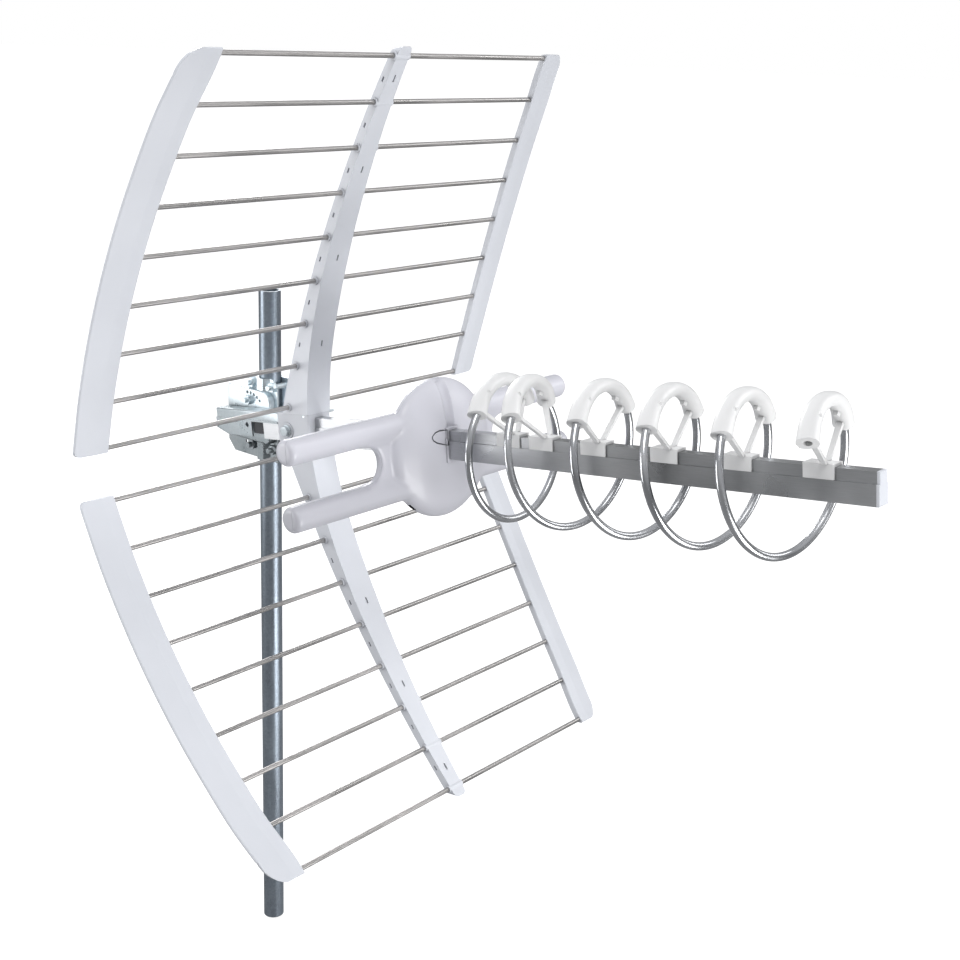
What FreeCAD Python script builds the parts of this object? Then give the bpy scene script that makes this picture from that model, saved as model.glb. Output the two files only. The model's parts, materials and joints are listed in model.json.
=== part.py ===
import FreeCAD, Part
import math
import os

os.makedirs("parts", exist_ok=True)
V = FreeCAD.Vector

# Mast and where the antenna head meets it
MAST_OD = 25.0
MAST_WALL = 2.0
MAST_TOP = 149.0
MAST_BOTTOM = -655.0
HEAD_PITCH = 7.7
MAST_IN_HEAD_X = -85.1
BODY_GAP = 0.3
SHEET = 2.0

# Boom profile: a box with a narrower rib on top
BOOM_W = 15.0
BOOM_H = 28.6
RIB_W = 12.0
RIB_H = 10.3
BOOM_WALL = 1.5
BOOM_TAIL = -56.5
BOOM_TIP = 676.0
BOOM_TOP = BOOM_H / 2
LEDGE = BOOM_TOP - RIB_H
CAP_T = 3.0

# Reflector rods
ROD_D = 5.0
ROD_COUNT = 9
ROD_START = 26.0
ROD_PITCH = 49.7
ROD_FIT = 0.1
ROD_SOCKET = 14.0

# Reflector spine
SPINE_HALF = 16.5
SPINE_TIP_HALF = 8.2
SPINE_WALL = 2.6
SPINE_REAR = 9.0
SPINE_OVER = 7.5
HUB_HALF_Z = 19.0
HUB_FRONT = 29.0
HUB_REAR = -22.0

# End plates
CUT_REAR = -60.0
CUT_FRONT = 330.0
PLATE_W = 36.0
PLATE_T = 7.6
PLATE_EDGE_T = 3.2
PLATE_SWEEP = 2.4
PLATE_OVER = 5.5
PLATE_R_TIP = 22.0
PLATE_R_ROOT = 8.0

# Dipole housing
HOUSE_X = 203.2
HOUSE_Z = -4.6
HOUSE_R = 70.0
HOUSE_FRONT = 19.0
HOUSE_BACK = 20.0
ARM_X = 205.0
ARM_Z = 31.1
ARM_R = 12.5
ARM_END = 208.5
GAP_END = 83.0
COLLAR = 3.0
SHELL = 2.6

# Director loops and clips
WIRE_D = 7.3
LOOP_R = 65.4
LOOP_Z = -1.0
LOOP_PITCH = 77.0
LOOP_MID = [301.4, 369.6, 444.2, 517.7, 590.8]
LOOP_TURN = [2.5, LOOP_PITCH, LOOP_PITCH, LOOP_PITCH, LOOP_PITCH]
CLIP_LEFT = 49.0
CLIP_RIGHT = 52.0
SOCKET_DEEP = 9.0
ARCH_RISE = 3.2
CLIP_BASE_X = [300.5, 340.0, 400.5, 477.3, 550.5, 626.0]
CLIP_BASE_L = 28.0

# Mast clamp, in the mast's own frame
PIVOT_X = -16.0
PIVOT_Z = 3.0
PIVOT_FIT = 0.08
BOLT_D = 6.0
NUT_AF = 10.0
BOLT_X = MAST_OD / 2 + BOLT_D / 2 + 1.7
BOLT_Z_UP = 42.0
BOLT_Z_DOWN = -31.0
LOCK_X = -15.0
LOCK_Z = 23.2
WING_Y = 8.0
WING_FRONT = 23.0
WING_LOW = -46.0
WING_HIGH = 50.0
SADDLE_REAR = -62.0
PAN_REAR = -53.5
PAN_FRONT = 19.0
PAN_LOW = -25.0
PAN_HIGH = 36.0
PAN_CORNERS = [14.0, 8.0, 8.0, 5.0]
CLAMP_THROUGH = 60.0
VEE_Y = MAST_OD / 2 + BODY_GAP + 1.0
PAN_FACE = VEE_Y + SHEET + 2.2
BRACKET_REAR = -136.0
BRACKET_FRONT = -30.0
BRACKET_FIT = 0.05
MAST_IN_HEAD_Y = BOOM_W / 2 + BRACKET_FIT + SHEET + BODY_GAP + PAN_FACE
INDEX_R = 28.2
HUB_BOLT_X = -5.5
HUB_PIN_X = 22.0
TAIL_PLUG_OUT = 18.0
BRACKET_BOLT_X = -40.0


def export(shape, name):
    shape.exportStep("parts/" + name + ".step")


# Head frame to mast frame
def place(shape):
    s = shape.copy()
    s.translate(V(-MAST_IN_HEAD_X, -MAST_IN_HEAD_Y, 0))
    s.rotate(V(0, 0, 0), V(0, 1, 0), -HEAD_PITCH)
    return s


def box(x0, x1, y0, y1, z0, z1):
    return Part.makeBox(x1 - x0, y1 - y0, z1 - z0, V(x0, y0, z0))


def cyl(r, length, start, axis):
    return Part.makeCylinder(r, length, start, axis)


def hexagon(af, height, centre, axis):
    r = af / math.sqrt(3)
    pts = [V(r * math.cos(math.radians(60 * i)), r * math.sin(math.radians(60 * i)), 0) for i in range(7)]
    solid = Part.Face(Part.makePolygon(pts)).extrude(V(0, 0, height))
    solid.Placement = FreeCAD.Placement(centre, FreeCAD.Rotation(V(0, 0, 1), axis))
    return solid


# Bolt along +Y: head on the low side, nut on the high side
def bolt(x, z, head_y, nut_y, end_y, head_h=4.2, d=BOLT_D, af=NUT_AF):
    shank = cyl(d / 2, end_y - head_y, V(x, head_y, z), V(0, 1, 0))
    head = hexagon(af, head_h, V(x, head_y - head_h, z), V(0, 1, 0))
    nut = hexagon(af, 5.0, V(x, nut_y, z), V(0, 1, 0))
    bore = cyl(d / 2, 5.0, V(x, nut_y, z), V(0, 1, 0))
    return shank.fuse([head, nut.cut(bore)]).removeSplitter()


# Side view of the reflector: the rods sit on a curve that leans forward
def lean(u):
    return math.radians(21.3 + 12.4 * u + 3.0 * u * u)


def rod_points():
    x, z = 0.0, ROD_START
    pts = [(x, z)]
    for i in range(ROD_COUNT - 1):
        a = lean((i + 0.5) / (ROD_COUNT - 1))
        x += ROD_PITCH * math.sin(a)
        z += ROD_PITCH * math.cos(a)
        pts.append((x, z))
    return pts


RODS = rod_points()


def rod_half(i):
    u = i / (ROD_COUNT - 1)
    return 250.0 + 11.0 * u - 42.0 * u * u


# Point at a distance off the rod curve; forward is positive
def off_curve(i, forward, along=0.0):
    a = lean(min(max(i / (ROD_COUNT - 1), 0.0), 1.0))
    x, z = RODS[i]
    return V(x + forward * math.cos(a) + along * math.sin(a), 0,
             z - forward * math.sin(a) + along * math.cos(a))


def spline(points):
    c = Part.BSplineCurve()
    c.interpolate(points)
    return c.toShape()


# Closed face in the XZ plane between a front row and a rear row of points
def band(front, rear):
    f = spline(front)
    r = spline(rear)
    a = Part.makeLine(front[-1], rear[-1])
    b = Part.makeLine(rear[0], front[0])
    return Part.Face(Part.Wire(Part.__sortEdges__([f, a, r, b])))


def mirror_z(shape):
    return shape.mirror(V(0, 0, 0), V(0, 0, 1))


def mirror_y(shape):
    return shape.mirror(V(0, 0, 0), V(0, 1, 0))


# Rods
def make_rod(i):
    x, z = RODS[i]
    half = rod_half(i) + ROD_SOCKET - 1.0
    return cyl(ROD_D / 2, 2 * half, V(x, -half, z), V(0, 1, 0))


# Spine side profile
def front_offset(i):
    return 4.2 + 25.5 * math.exp(-i / 1.75)


def spine_half(z):
    z0 = RODS[3][1]
    z1 = RODS[-1][1] + SPINE_OVER
    t = min(max((z - z0) / (z1 - z0), 0.0), 1.0)
    return SPINE_HALF + (SPINE_TIP_HALF - SPINE_HALF) * t


# Prism along X: spine outline seen from the front
def spine_outline(shrink, z_low, z_high, round_r):
    zs = [z_low, RODS[3][1] - 30.0, RODS[3][1] + 20.0, RODS[5][1], RODS[7][1], z_high]
    right = [V(CUT_REAR, spine_half(z) - shrink, z) for z in zs]
    left = [V(CUT_REAR, -spine_half(z) + shrink, z) for z in zs]
    edges = [Part.makePolygon(right), Part.makePolygon(left)]
    edges += [Part.makeLine(right[-1], left[-1]), Part.makeLine(left[0], right[0])]
    flat = []
    for e in edges:
        flat += e.Edges
    face = Part.Face(Part.Wire(Part.__sortEdges__(flat)))
    solid = face.extrude(V(CUT_FRONT, 0, 0))
    if round_r > 0:
        tip = []
        for e in solid.Edges:
            p = e.CenterOfMass
            if abs(p.z - z_high) < 0.01 and abs(abs(p.y) - spine_half(z_high) + shrink) < 0.01:
                tip.append(e)
        solid = solid.makeFillet(round_r, tip)
    return solid


def make_spine():
    last = ROD_COUNT - 1
    tip_z = RODS[last][1] + SPINE_OVER
    low = HUB_HALF_Z
    front = [V(HUB_FRONT, 0, low)]
    rear = [V(-SPINE_REAR - 2.0, 0, low)]
    front_in = [V(HUB_FRONT - SPINE_WALL, 0, low + SPINE_WALL)]
    rear_in = [V(-SPINE_REAR - 20.0, 0, low + SPINE_WALL)]
    for i in range(ROD_COUNT):
        front.append(V(RODS[i][0] + front_offset(i), 0, RODS[i][1]))
        rear.append(V(RODS[i][0] - SPINE_REAR + 1.5 * i / last, 0, RODS[i][1]))
        front_in.append(V(RODS[i][0] + front_offset(i) - SPINE_WALL - 0.4, 0, RODS[i][1]))
        rear_in.append(V(RODS[i][0] - SPINE_REAR - 20.0, 0, RODS[i][1]))
    a = lean(1.0)
    run = SPINE_OVER * math.tan(a)
    front.append(V(front[-1].x + run, 0, tip_z))
    rear.append(V(rear[-1].x + run, 0, tip_z))
    body = band(front, rear).extrude(V(0, 60, 0))
    body.translate(V(0, -30, 0))
    body = body.common(spine_outline(0.0, low, tip_z, 5.0))
    pocket = band(front_in, rear_in).extrude(V(0, 60, 0))
    pocket.translate(V(0, -30, 0))
    pocket = pocket.common(spine_outline(SPINE_WALL, low + SPINE_WALL, RODS[last][1], 0.0))
    webs = []
    for i in range(ROD_COUNT):
        x, z = RODS[i]
        webs.append(cyl(ROD_D / 2 + 2.2, 60, V(x, -30, z), V(0, 1, 0)))
        webs.append(box(x - 60, x + 60, -30, 30, z - 1.0, z + 1.0))
    pocket = pocket.cut(Part.makeCompound(webs))
    body = body.cut(pocket)
    bosses = []
    for i in range(ROD_COUNT):
        x, z = RODS[i]
        h = spine_half(z) + 1.8
        bosses.append(cyl(ROD_D / 2 + 1.6, 2 * h, V(x, -h, z), V(0, 1, 0)))
    keep = box(CUT_REAR, CUT_FRONT, -40, 40, low, tip_z)
    body = body.fuse([b.common(keep) for b in bosses])
    holes = []
    for i in range(ROD_COUNT):
        x, z = RODS[i]
        holes.append(cyl(ROD_D / 2 + ROD_FIT, 80, V(x, -40, z), V(0, 1, 0)))
    for i in range(1, last):
        x = (RODS[i][0] + RODS[i + 1][0]) / 2 - 2.0
        z = (RODS[i][1] + RODS[i + 1][1]) / 2
        side = box(-1.0, 1.0, -40, 40, -2.6, 2.6)
        side.rotate(V(0, 0, 0), V(0, 1, 0), math.degrees(lean(i / last)))
        side.translate(V(x, 0, z))
        holes.append(side)
        if i % 2 == 1:
            face = box(0, 40, -1.0, 1.0, z - 3.0, z + 3.0)
            face.translate(V(x, 0, 0))
            holes.append(face)
    body = body.cut(Part.makeCompound(holes))
    return body


# Hub block on the boom, between the two spines
def boom_section(grow, x0, x1):
    w = BOOM_W / 2 + grow
    r = RIB_W / 2 + grow
    t = BOOM_TOP + grow
    b = -BOOM_TOP - grow
    pts = [V(x0, -w, b), V(x0, w, b), V(x0, w, LEDGE + grow), V(x0, r, LEDGE + grow), V(x0, r, t),
           V(x0, -r, t), V(x0, -r, LEDGE + grow), V(x0, -w, LEDGE + grow), V(x0, -w, b)]
    return Part.Face(Part.makePolygon(pts)).extrude(V(x1 - x0, 0, 0))


def make_hub():
    h = HUB_HALF_Z
    body = box(HUB_REAR, HUB_FRONT, -SPINE_HALF, SPINE_HALF, -h, h)
    along = [e for e in body.Edges if abs(e.CenterOfMass.z) < 0.01 and abs(e.CenterOfMass.y) > 1]
    body = body.makeFillet(2.5, along)
    pads = cyl(9.0, 2 * SPINE_HALF + 2.0, V(HUB_BOLT_X, -SPINE_HALF - 1.0, 0), V(0, 1, 0))
    body = body.fuse(pads).removeSplitter()
    body = body.cut(boom_section(0.15, -60, 60))
    body = body.cut(cyl(BOLT_D / 2 + 0.15, 80, V(HUB_BOLT_X, -40, 0), V(0, 1, 0)))
    body = body.cut(cyl(1.6, 80, V(HUB_PIN_X, -40, BOOM_TOP + 2.7), V(0, 1, 0)))
    return body


def make_hub_bolt():
    y = SPINE_HALF + 1.0
    b = bolt(HUB_BOLT_X, 0, -y - 1.2, y + 1.2, y + 9.0)
    for side in (-y - 1.2, y):
        ring = cyl(6.5, 1.2, V(HUB_BOLT_X, side, 0), V(0, 1, 0))
        b = b.fuse(ring)
    return b.removeSplitter()


def make_hub_pin():
    return cyl(1.5, 2 * SPINE_HALF + 11.0, V(HUB_PIN_X, -SPINE_HALF, BOOM_TOP + 2.7), V(0, 1, 0))


# End plate cross section at a rod: thick where the rods enter, thin and swept back outside
def plate_section(i, along):
    a = lean(min(max(i / (ROD_COUNT - 1), 0.0), 1.0))
    c = off_curve(i, 0.0, along)
    inner = rod_half(i)
    outer = inner + PLATE_W
    front = PLATE_EDGE_T / 2 - PLATE_SWEEP
    rear = -PLATE_EDGE_T / 2 - PLATE_SWEEP
    half = PLATE_T / 2
    row = [(inner, half - 0.8), (inner + 0.8, half), (inner + 14.0, half - 0.6), (outer - 1.2, front),
           (outer, front - 1.0), (outer, rear + 0.8), (outer - 0.8, rear), (inner + 16.0, -half),
           (inner, -half)]
    pts = [V(c.x + f * math.cos(a), y, c.z - f * math.sin(a)) for y, f in row]
    return Part.makePolygon(pts + [pts[0]])


def make_plate():
    last = ROD_COUNT - 1
    wires = [plate_section(0, -PLATE_OVER)]
    wires += [plate_section(i, 0.0) for i in range(ROD_COUNT)]
    wires.append(plate_section(last, PLATE_OVER))
    body = Part.makeLoft(wires, True, False)
    z_low = off_curve(0, 0.0, -PLATE_OVER + 0.6).z
    z_high = off_curve(last, 0.0, PLATE_OVER - 0.8).z
    out_low = rod_half(0) + PLATE_W
    out_high = rod_half(last) + PLATE_W + 2.0
    tips = []
    for z, y, sign, r in ((z_low, out_low, 1, PLATE_R_ROOT), (z_high, out_high, -1, PLATE_R_TIP)):
        block = box(CUT_REAR, CUT_FRONT, y - r, y + 30, min(z, z + sign * r), max(z, z + sign * r))
        block = block.cut(cyl(r, CUT_FRONT - CUT_REAR, V(CUT_REAR, y - r, z + sign * r), V(1, 0, 0)))
        tips.append(block)
        tips.append(box(CUT_REAR, CUT_FRONT, 150, CUT_FRONT, min(z, z - sign * 40), max(z, z - sign * 40)))
    body = body.cut(Part.makeCompound(tips[:1])).cut(tips[1]).cut(tips[2]).cut(tips[3])
    holes = []
    for i in range(ROD_COUNT):
        x, z = RODS[i]
        holes.append(cyl(ROD_D / 2 + ROD_FIT, ROD_SOCKET + 3.0, V(x, rod_half(i) - 3.0, z), V(0, 1, 0)))
    return body.cut(Part.makeCompound(holes))


# Boom, its front cap and its tail plug
def make_boom():
    outer = boom_section(0.0, BOOM_TAIL, BOOM_TIP)
    w = BOOM_W / 2 - BOOM_WALL
    low = box(BOOM_TAIL - 1, BOOM_TIP + 1, -w, w, -BOOM_TOP + BOOM_WALL, LEDGE - BOOM_WALL)
    r = RIB_W / 2 - BOOM_WALL
    top = box(BOOM_TAIL - 1, BOOM_TIP + 1, -r, r, LEDGE, BOOM_TOP - BOOM_WALL)
    body = outer.cut(Part.makeCompound([low, top]))
    body = body.cut(cyl(BOLT_D / 2 + 0.15, 60, V(HUB_BOLT_X, -30, 0), V(0, 1, 0)))
    body = body.cut(cyl(BOLT_D / 2 + 0.15, 60, V(BRACKET_BOLT_X, 0, -5.0), V(0, 1, 0)))
    return body


def make_end_cap():
    flange = boom_section(0.0, BOOM_TIP, BOOM_TIP + CAP_T)
    rim = [e for e in flange.Edges if e.CenterOfMass.x > BOOM_TIP + CAP_T - 0.01]
    flange = flange.makeChamfer(0.8, rim)
    w = BOOM_W / 2 - BOOM_WALL - 0.1
    plug = box(BOOM_TIP - 10, BOOM_TIP, -w, w, -BOOM_TOP + BOOM_WALL + 0.1, LEDGE - BOOM_WALL - 0.1)
    return flange.fuse(plug).removeSplitter()


def make_tail_plug():
    w = BOOM_W / 2 - BOOM_WALL - 0.1
    z0 = -BOOM_TOP + BOOM_WALL + 0.1
    z1 = LEDGE - BOOM_WALL - 0.1
    inside = box(BOOM_TAIL, BOOM_TAIL + 9, -w, w, z0, z1)
    out = box(BOOM_TAIL - TAIL_PLUG_OUT, BOOM_TAIL, -BOOM_W / 2 + 0.4, BOOM_W / 2 - 0.4,
              -BOOM_TOP + 5.0, LEDGE - 0.3)
    rim = [e for e in out.Edges if e.CenterOfMass.x < BOOM_TAIL - TAIL_PLUG_OUT + 0.01]
    out = out.makeFillet(1.5, rim)
    return inside.fuse(out).removeSplitter()


# Dipole housing: round bulb, four arms, two webs, in its own frame with z = 0 at its middle
def bulb(grow):
    f = HOUSE_FRONT + grow
    b = HOUSE_BACK + grow
    r = HOUSE_R + grow
    out = []
    for depth, sign in ((f, 1.0), (b, -1.0)):
        pts = []
        for k in range(13):
            a = math.radians(7.5 * k)
            high = r * math.cos(a) ** 0.92 if k < 12 else 0.0
            pts.append(V(HOUSE_X + sign * depth * math.sin(a) ** 0.9, 0, high))
        curve = spline(pts)
        base = Part.makeLine(V(HOUSE_X, 0, 0), pts[0])
        axis = Part.makeLine(pts[-1], V(HOUSE_X, 0, 0))
        face = Part.Face(Part.Wire(Part.__sortEdges__([curve, base, axis])))
        out.append(face.revolve(V(0, 0, 0), V(1, 0, 0), 360))
    return out[0].fuse(out[1]).removeSplitter()


def arms(grow, end):
    solids = []
    r0 = ARM_R + grow
    for sy in (-1, 1):
        for sz in (-1, 1):
            c = cyl(r0, end - 10, V(ARM_X, sy * 10, sz * ARM_Z), V(0, sy, 0))
            if grow == 0:
                tip = [e for e in c.Edges if abs(abs(e.CenterOfMass.y) - end) < 0.01 and e.Closed]
                c = c.makeFillet(5.5, tip)
            solids.append(c)
            root = V(ARM_X, sy * (HOUSE_R + 14.0), sz * ARM_Z)
            solids.append(Part.makeCone(r0, r0 + 4.0, 36.0, root, V(0, -sy, 0)))
    return solids


def make_housing():
    body = bulb(0.0).fuse(arms(0.0, ARM_END))
    webs = []
    gap_r = ARM_Z - ARM_R
    for sy in (-1, 1):
        y = GAP_END + gap_r
        web = box(ARM_X - 4.5, ARM_X + 4.5, 30, y, -ARM_Z, ARM_Z)
        web = web.cut(cyl(gap_r, 20, V(ARM_X - 10, y, 0), V(1, 0, 0)))
        webs.append(web if sy > 0 else mirror_y(web))
    body = body.fuse(webs).removeSplitter()
    hollow = bulb(-SHELL).fuse(arms(-SHELL, ARM_END - SHELL - 1.0))
    body.translate(V(0, 0, HOUSE_Z))
    hollow.translate(V(0, 0, HOUSE_Z))
    collar = boom_section(COLLAR, HOUSE_X, HOUSE_X + HOUSE_FRONT + 2.6)
    low = [e for e in collar.Edges
           if abs(e.Length - HOUSE_FRONT - 2.6) < 0.1 and e.CenterOfMass.z < -BOOM_TOP + 1.0]
    collar = collar.makeFillet(1.5, low)
    body = body.fuse(collar).removeSplitter()
    keep = boom_section(SHELL, 150, 260)
    body = body.cut(hollow.cut(keep))
    return body.cut(boom_section(0.15, 150, 260))


def groove_tool():
    pts = []
    for k in range(0, 10):
        a = math.radians(7.5 * k + 2)
        pts.append(V(HOUSE_X + (HOUSE_FRONT + 4.7) * math.sin(a) ** 0.9, 0,
                     HOUSE_Z + (HOUSE_R + 4.7) * math.cos(a) ** 0.92))
    path = Part.Wire([spline(pts)])
    d = pts[1].sub(pts[0])
    ring = Part.Wire([Part.makeCircle(6.2, pts[0], d)])
    return path.makePipeShell([ring], True, True)


# Latch tab beside the boom, a raised pad with a narrow gap round its outer part
def latch(grow):
    y = -BOOM_W / 2 - COLLAR
    low = BOOM_TOP - 14.0
    row = [(y + 2.0, low + 15.5), (y - 15.0, low + 16.5), (y - 20.0, low + 12.0), (y - 16.5, low + 7.0),
           (y + 2.0, low - 1.0)]
    face = Part.Face(Part.makePolygon([V(HOUSE_X + 8.0, a, b) for a, b in row + row[:1]]))
    return (face.makeOffset2D(grow) if grow > 0 else face).extrude(V(HOUSE_FRONT, 0, 0))


def make_front_shell(housing):
    s = housing.common(box(HOUSE_X, 260, -260, 260, -100, 100))
    s = s.cut(groove_tool())
    deep = bulb(-1.2)
    deep.translate(V(0, 0, HOUSE_Z))
    proud = bulb(0.9)
    proud.translate(V(0, 0, HOUSE_Z))
    s = s.cut(latch(0.9).cut(deep).cut(boom_section(COLLAR, 150, 260)))
    pad = latch(0.0).common(proud).cut(deep).cut(boom_section(0.15, 150, 260))
    return s.fuse(pad).removeSplitter()


def make_rear_shell(housing):
    s = housing.common(box(150, HOUSE_X, -260, 260, -100, 100))
    slot = box(HOUSE_X - 14, HOUSE_X - 4, -26, -20, HOUSE_Z - HOUSE_R, HOUSE_Z - HOUSE_R + 14)
    return s.cut(slot)


# Director loops: a helix round the boom, cut away at the top
def loop_point(n, deg, radius=LOOP_R):
    a = math.radians(deg)
    x = LOOP_MID[n] + LOOP_TURN[n] * (deg - 180.0) / 360.0
    return V(x, -radius * math.sin(a), LOOP_Z + radius * math.cos(a))


# Corners of a helix polygon; each corner is rounded by an arc from mid-edge to mid-edge
def arc_chain(n, from_deg, to_deg, count):
    step = (to_deg - from_deg) / count
    reach = LOOP_R / math.cos(math.radians(step / 2))
    corner = [loop_point(n, from_deg + step * (k + 0.5), reach) for k in range(-1, count + 1)]
    edges = []
    for k in range(1, count + 1):
        before = corner[k - 1].add(corner[k]).multiply(0.5)
        after = corner[k].add(corner[k + 1]).multiply(0.5)
        chord = after.sub(before)
        up = corner[k].sub(before.add(after).multiply(0.5))
        half = chord.Length / 2
        rise = half * math.tan(math.atan2(up.Length, half) / 2)
        up.normalize()
        mid = before.add(after).multiply(0.5).add(V(up).multiply(rise))
        edges.append(Part.Arc(before, mid, after).toShape())
    return Part.Wire(edges)


def tube_on(path, r):
    first = path.Edges[0]
    start = first.valueAt(first.FirstParameter)
    ring = Part.Wire([Part.makeCircle(r, start, first.tangentAt(first.FirstParameter))])
    return path.makePipeShell([ring], True, True)


def make_loop(n):
    start = CLIP_LEFT - SOCKET_DEEP
    end = 360.0 - CLIP_RIGHT + SOCKET_DEEP
    return tube_on(arc_chain(n, start, end, 10), WIRE_D / 2)


# Clip ends in x: front-left socket and rear-right socket
def clip_ends(n):
    if n < len(LOOP_MID):
        left = loop_point(n, CLIP_LEFT).x
    else:
        left = loop_point(n - 1, 360.0).x + LOOP_PITCH * CLIP_LEFT / 360.0
    if n > 0:
        right = loop_point(n - 1, 360.0 - CLIP_RIGHT).x
    else:
        right = left - 24.0
    return left, right


def oval(centre, tangent, width, height, out_dir):
    side = tangent.cross(out_dir)
    side.normalize()
    up = side.cross(tangent)
    up.normalize()
    pts = []
    for k in range(16):
        a = 2 * math.pi * k / 16
        c, s = math.cos(a), math.sin(a)
        p = V(centre)
        p = p.add(V(side).multiply(width * math.copysign(abs(c) ** 0.85, c)))
        p = p.add(V(up).multiply(height * math.copysign(abs(s) ** 0.85, s)))
        pts.append(p)
    curve = Part.BSplineCurve()
    curve.interpolate(pts, PeriodicFlag=True)
    return Part.Wire([curve.toShape()])


def arch_point(n, t):
    left, right = clip_ends(n)
    deg = -CLIP_RIGHT + (CLIP_LEFT + CLIP_RIGHT) * t
    a = math.radians(deg)
    r = LOOP_R + ARCH_RISE * math.sin(math.pi * t) ** 1.5
    ease = t + 0.06 * math.sin(2 * math.pi * t)
    x = right + (left - right) * ease
    return V(x, -r * math.sin(a), LOOP_Z + r * math.cos(a)), V(0, -math.sin(a), math.cos(a))


def make_clip(n):
    rings = []
    steps = 12
    for k in range(steps + 1):
        t = k / steps
        c, out_dir = arch_point(n, t)
        t0 = max(t - 0.02, 0.0)
        t1 = min(t + 0.02, 1.0)
        tangent = arch_point(n, t1)[0].sub(arch_point(n, t0)[0])
        swell = abs(2 * t - 1) ** 2.4
        w = 8.4 + 0.8 * swell
        h = 6.4 + 1.6 * swell
        rings.append(oval(c, tangent, w, h, out_dir))
    arch = Part.makeLoft(rings, True, False)
    base_x = CLIP_BASE_X[n]
    half = CLIP_BASE_L / 2
    seat = box(base_x - half, base_x + half, -BOOM_W / 2, BOOM_W / 2, LEDGE, BOOM_TOP + 2.6)
    solids = [seat]
    for side, t in ((-1, 0.93), (1, 0.07)):
        top, out_dir = arch_point(n, t)
        top = top.sub(V(out_dir).multiply(3.5))
        foot = V(base_x + (5.0 if side < 0 else 2.0), side * (BOOM_W / 2 - 2.0), BOOM_TOP + 1.6)
        solids.append(strut(top, foot, 4.6, 2.8))
    peg, out_dir = arch_point(n, 0.24)
    solids.append(strut(peg, peg.sub(V(out_dir).multiply(10.0)), 4.0, 5.0))
    body = arch.fuse(solids)
    cuts = [boom_section(0.05, base_x - 40, base_x + 40)]
    if n < len(LOOP_MID):
        cuts.append(socket(n, CLIP_LEFT + 8.0, CLIP_LEFT - SOCKET_DEEP - 0.3))
    else:
        p, d = arch_point(n, 1.0)
        q = arch_point(n, 0.93)[0]
        axis = p.sub(q)
        axis.normalize()
        start = p.sub(V(axis).multiply(9.0))
        cuts.append(cyl(WIRE_D / 2 + ROD_FIT, 16.0, start, axis))
    if n > 0:
        cuts.append(socket(n - 1, 360.0 - CLIP_RIGHT - 8.0, 360.0 - CLIP_RIGHT + SOCKET_DEEP + 0.3))
    body = body.cut(Part.makeCompound(cuts))
    dimple, d = arch_point(n, 0.78)
    ball = Part.makeSphere(2.4, dimple.add(V(d).multiply(4.0)).add(V(9.0, 0, 0)))
    return body.cut(ball)


def socket(n, from_deg, to_deg):
    lo, hi = min(from_deg, to_deg), max(from_deg, to_deg)
    return tube_on(arc_chain(n, lo, hi, 1), WIRE_D / 2 + ROD_FIT)


def strut(top, foot, wide, thick):
    d = foot.sub(top)
    d.normalize()
    wires = []
    for p, grow in ((top, 1.25), (foot, 1.0)):
        x = V(1, 0, 0)
        n = d.cross(x)
        n.normalize()
        x = n.cross(d)
        x.normalize()
        a = V(x).multiply(wide / 2 * grow)
        b = V(n).multiply(thick / 2 * grow)
        pts = [p.add(a).add(b), p.sub(a).add(b), p.sub(a).sub(b), p.add(a).sub(b)]
        wires.append(Part.makePolygon(pts + [pts[0]]))
    return Part.makeLoft(wires, True, True)


# Mast clamp in the mast frame: vee saddle, index pan, jaw, bolts
def bolt_holes():
    tools = []
    for x in (-BOLT_X, BOLT_X):
        for z in (BOLT_Z_UP, BOLT_Z_DOWN):
            tools.append(cyl(BOLT_D / 2 + 0.15, 80, V(x, -40, z), V(0, 1, 0)))
    return tools


# Outline of a vee plate seen from above; side is +1 behind the mast and -1 in front of it
def vee(side, left, right, low, high, grow_in=0.0, grow_out=SHEET):
    ring = []
    for grow in (grow_in, grow_out):
        reach = (VEE_Y - 1.0 + grow) * math.sqrt(2)
        wing = WING_Y + grow
        nose = VEE_Y + grow
        row = [(left, wing), (wing - reach, wing), (nose - reach, nose)]
        row += [(reach - nose, nose), (reach - wing, wing), (right, wing)]
        ring += row if grow == grow_in else row[::-1]
    pts = [V(x, side * y, low) for x, y in ring]
    return Part.Face(Part.makePolygon(pts + [pts[0]])).extrude(V(0, 0, high - low))


def corner_cut(x0, z0, x1, z1, x2, z2):
    pts = [V(x0, -60, z0), V(x1, -60, z1), V(x2, -60, z2)]
    return Part.Face(Part.makePolygon(pts + [pts[0]])).extrude(V(0, 120, 0))


def make_saddle():
    body = vee(-1, SADDLE_REAR, WING_FRONT, WING_LOW, WING_HIGH)
    cuts = bolt_holes()
    rear, low = SADDLE_REAR - 1.0, WING_LOW - 1.0
    front, high = WING_FRONT + 1.0, WING_HIGH + 1.0
    cuts.append(corner_cut(rear, low + 14.0, rear, low, rear + 13.0, low))
    cuts.append(corner_cut(front - 10.0, high, front, high, front, high - 9.0))
    cuts.append(box(-70, -27, -20, 0, 33.0, 60))
    cuts.append(cyl(2.3, 20, V(-30, -15, BOLT_Z_DOWN), V(0, 1, 0)))
    return body.cut(Part.makeCompound(cuts))


# Index pan: a flat face with the tilt holes, its rim folded back to the saddle's wings
def pan_block(shrink, y0, y1):
    x0, x1 = PAN_REAR + shrink, PAN_FRONT - shrink
    z0, z1 = PAN_LOW + shrink, PAN_HIGH - shrink
    body = box(x0, x1, y0, y1, z0, z1)
    for (x, z), r in zip(((x1, z1), (x1, z0), (x0, z0), (x0, z1)), PAN_CORNERS):
        edge = [e for e in body.Edges
                if abs(e.CenterOfMass.x - x) < 0.01 and abs(e.CenterOfMass.z - z) < 0.01]
        body = body.makeFillet(max(r - shrink, 1.0), edge)
    return body


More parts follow.
